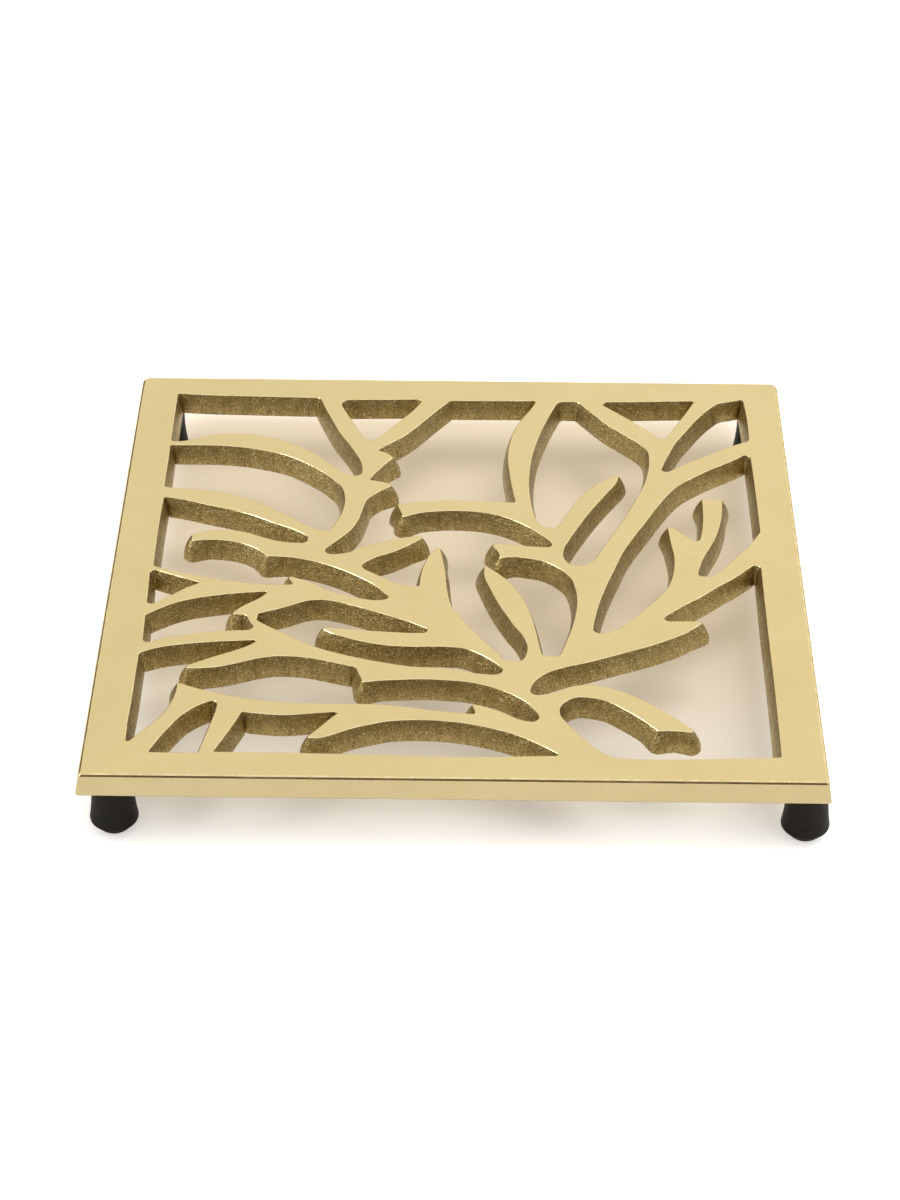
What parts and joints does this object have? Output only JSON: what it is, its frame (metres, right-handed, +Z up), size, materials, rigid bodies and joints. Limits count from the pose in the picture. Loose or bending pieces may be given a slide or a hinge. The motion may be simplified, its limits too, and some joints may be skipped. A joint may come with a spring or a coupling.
{
  "type": "trivet",
  "caption": "Square cast-brass trivet with a pierced leaf-and-branch pattern inside a flat rim, on rubber-tipped corner legs.",
  "frame": {"origin": "on the table, under the middle of the square plate", "axes": "+Z up through the plate, +X to the right and +Y to the rear as the picture shows it, with the branching stem's foot towards -Y"},
  "size_m": [0.2031, 0.202, 0.0234],
  "materials": {
    "plate_brass": "satin brushed top and rim, sand-cast opening walls and underside",
    "peg_brass": "turned",
    "foot_rubber": "matte black"
  },
  "bodies": {
    "root": {"trivet_plate": "plate_brass", "leg_peg_front_left": "peg_brass", "leg_peg_front_right": "peg_brass", "leg_peg_rear_left": "peg_brass", "leg_peg_rear_right": "peg_brass", "rubber_foot_front_left": "foot_rubber", "rubber_foot_front_right": "foot_rubber", "rubber_foot_rear_left": "foot_rubber", "rubber_foot_rear_right": "foot_rubber"}
  },
  "joints": []
}
